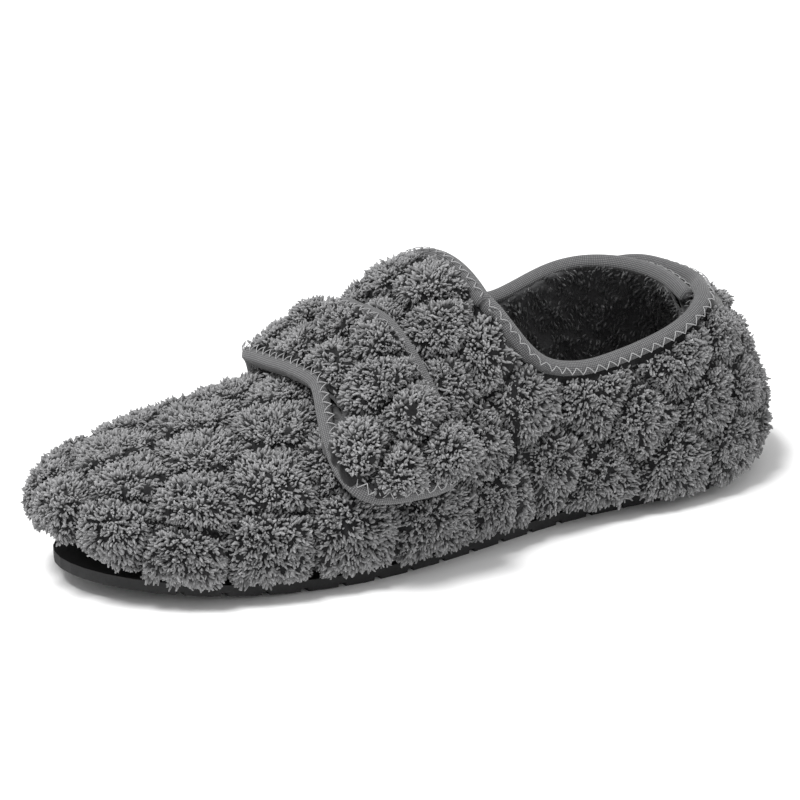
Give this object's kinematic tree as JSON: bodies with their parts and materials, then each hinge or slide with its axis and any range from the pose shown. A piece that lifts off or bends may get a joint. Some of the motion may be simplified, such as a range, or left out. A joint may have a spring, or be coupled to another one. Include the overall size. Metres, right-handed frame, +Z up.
{
  "type": "closed-back fleece slipper",
  "caption": "Left closed-back fleece slipper with a hook-and-loop strap over the instep and a hook-and-loop flap that wraps round the heel.",
  "frame": {"origin": "on the floor, under the middle of the slipper's box", "axes": "+X from the toe to the heel, +Y to the big-toe side, +Z up"},
  "size_m": [0.2868, 0.1142, 0.0936],
  "materials": {
    "fleece": "curly bubble fleece, mid grey",
    "plush_lining": "short plush, dark grey",
    "edge_tape": "woven elastic edge tape, grey",
    "loop_fabric": "brushed loop fabric, charcoal",
    "hook_fabric": "woven hook fabric, charcoal",
    "sole_rubber": "moulded rubber, black",
    "foam": "open-cell foam, off-white",
    "board": "fibre lasting board, buff"
  },
  "bodies": {
    "upper": {"vamp_fleece": "fleece", "vamp_lining": "plush_lining", "vamp_tape": "edge_tape", "outer_quarter_fleece": "fleece", "outer_quarter_lining": "plush_lining", "outer_quarter_tape": "edge_tape", "inner_quarter_fleece": "fleece", "inner_quarter_lining": "plush_lining", "inner_quarter_tape": "edge_tape", "heel_loop_pad": "loop_fabric", "strap_loop_pad": "loop_fabric", "strap_sewn_end_fleece": "fleece", "strap_sewn_end_backing": "plush_lining", "strap_sewn_end_tape": "edge_tape", "outsole": "sole_rubber", "lasting_board": "board", "filler_foam": "foam", "insole_foam": "foam", "insole_cover": "plush_lining"},
    "strap": {"strap_fleece": "fleece", "strap_backing": "plush_lining", "strap_tape": "edge_tape", "strap_hook_pad": "hook_fabric"},
    "heel_flap": {"heel_flap_fleece": "fleece", "heel_flap_lining": "plush_lining", "heel_flap_tape": "edge_tape", "heel_hook_pad": "hook_fabric"}
  },
  "joints": [
    {"name": "strap_open", "type": "hinge", "parent": "upper", "child": "strap", "pos_m": [-0.022, 0.0537, 0.044], "axis": [-1, 0, 0], "range_deg": [0, 110]},
    {"name": "heel_flap_open", "type": "hinge", "parent": "upper", "child": "heel_flap", "pos_m": [0.0883, -0.0482, 0.03], "axis": [0, 0, -1], "range_deg": [0, 90]}
  ]
}
